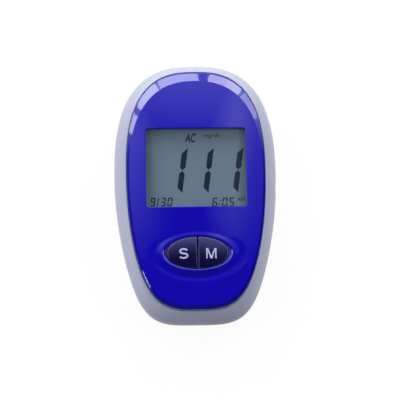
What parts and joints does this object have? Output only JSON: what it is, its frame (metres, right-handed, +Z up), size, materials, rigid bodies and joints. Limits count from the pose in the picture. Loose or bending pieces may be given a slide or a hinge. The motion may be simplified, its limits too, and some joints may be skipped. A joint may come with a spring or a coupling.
{
  "type": "blood glucose meter",
  "caption": "Pocket blood glucose meter: egg-shaped case, glossy face cover, display window, two keys, strip port and a battery door in its back.",
  "frame": {"origin": "middle of the flat back that the meter lies on, at the bottom centre of its box", "axes": "+Z up out of the display, +Y along the case towards the strip port at the display end, +X across to the right of the display"},
  "size_m": [0.056, 0.09, 0.0218],
  "materials": {
    "case": "satin grained",
    "cover": "polished",
    "lens": "clear",
    "display": "satin",
    "key": "satin",
    "holder": "matte",
    "elastomer": "matte",
    "board": "solder mask",
    "chip": "matte",
    "can": "drawn",
    "part": "matte",
    "sounder": "satin",
    "port": "satin",
    "connector": "matte",
    "contact": "plated",
    "jack": "satin",
    "switch": "matte",
    "plunger": "matte",
    "cell": "printed sleeve",
    "terminal": "nickel plated",
    "screw": "zinc plated"
  },
  "bodies": {
    "case": {"rear_housing": "case", "front_housing": "case", "face_cover": "cover", "display_lens": "lens", "lcd_panel": "display", "lcd_holder": "holder", "zebra_strip": "elastomer", "circuit_board": "board", "microcontroller": "chip", "amplifier_chip": "chip", "memory_chip": "chip", "clock_crystal": "can", "passive_parts": "part", "buzzer": "sounder", "strip_port": "port", "strip_connector": "connector", "strip_contacts": "contact", "data_jack": "jack", "jack_contacts": "contact", "switch_bodies": "switch", "left_cell": "cell", "right_cell": "cell", "spring_terminal": "terminal", "plate_terminal": "terminal", "bridge_contact": "terminal", "housing_screws": "screw", "board_screws": "screw"},
    "s_key": {"s_button": "key", "s_plunger": "plunger"},
    "m_key": {"m_button": "key", "m_plunger": "plunger"},
    "door": {"battery_door": "case"}
  },
  "joints": [
    {"name": "s_press", "type": "slide", "parent": "case", "child": "s_key", "axis": [0, 0, -1], "range_m": [0, 0.0004], "stiffness_N_per_m": 2000, "springref_m": -0.0001},
    {"name": "m_press", "type": "slide", "parent": "case", "child": "m_key", "axis": [0, 0, -1], "range_m": [0, 0.0004], "stiffness_N_per_m": 2000, "springref_m": -0.0001},
    {"name": "door_swing", "type": "hinge", "parent": "case", "child": "door", "pos_m": [0, 0.02255, 0], "axis": [1, 0, 0], "range_deg": [0, 75]}
  ]
}
